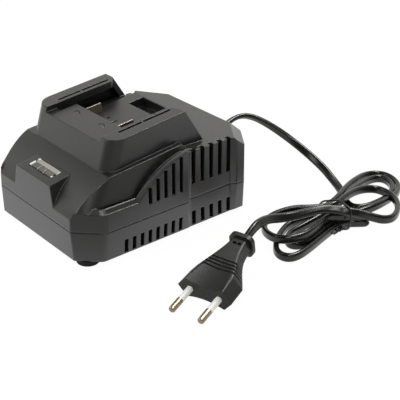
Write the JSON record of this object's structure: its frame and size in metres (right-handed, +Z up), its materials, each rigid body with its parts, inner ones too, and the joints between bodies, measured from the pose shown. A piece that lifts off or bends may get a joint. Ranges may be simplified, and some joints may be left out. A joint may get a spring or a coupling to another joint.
{
  "type": "power tool battery charger",
  "caption": "Slide-dock charger for tool battery packs, with open rail grooves, contact blades, a status lens and a moulded mains lead.",
  "frame": {"origin": "on the table under the middle of the case, at the height of the feet's bottom faces", "axes": "+Z up, +Y from the front lens to the rear cord entry, +X to the right seen from the front"},
  "size_m": [0.1868, 0.2345, 0.0766],
  "materials": {
    "black_case": "fine moulded grain",
    "black_rubber": "matte",
    "zinc_steel": "zinc plated",
    "circuit_board": "solder mask",
    "ferrite": "matte",
    "winding_tape": "polyester tape",
    "capacitor_sleeve": "shrunk sleeve",
    "aluminium_sink": "satin",
    "epoxy_black": "matte",
    "copper_coil": "enamelled",
    "film_box": "gloss",
    "fuse_glass": "clear",
    "clip_brass": "tin plated",
    "terminal_plastic": "satin",
    "blade_nickel": "nickel plated",
    "lens_clear": "polished diffuser",
    "reflector_white": "satin",
    "led_resin": "clear resin",
    "wire_insulation": "soft PVC",
    "cord_pvc": "soft PVC, glossy",
    "tie_wire": "coated wire",
    "sleeve_nylon": "satin",
    "pin_brass": "nickel plated"
  },
  "bodies": {
    "root": {"battery_wires": "wire_insulation", "board_screws": "zinc_steel", "bulk_capacitor": "capacitor_sleeve", "case_screws": "zinc_steel", "contact_blades": "blade_nickel", "cord_hank": "cord_pvc", "cord_lead": "cord_pvc", "cord_tail": "cord_pvc", "film_capacitor": "film_box", "fuse_clips": "clip_brass", "fuse_tube": "fuse_glass", "heat_sink": "aluminium_sink", "led_board": "circuit_board", "led_chips": "led_resin", "led_reflector": "reflector_white", "lower_shell": "black_case", "main_board": "circuit_board", "mains_choke": "copper_coil", "mains_wires": "wire_insulation", "output_capacitors": "capacitor_sleeve", "pin_sleeves": "sleeve_nylon", "plug_body": "black_rubber", "plug_pins": "pin_brass", "power_devices": "epoxy_black", "rubber_feet": "black_rubber", "signal_contacts": "blade_nickel", "status_lens": "lens_clear", "strain_relief": "black_rubber", "terminal_block": "terminal_plastic", "transformer_core": "ferrite", "transformer_winding": "winding_tape", "twist_tie": "tie_wire", "upper_shell": "black_case"}
  },
  "joints": []
}
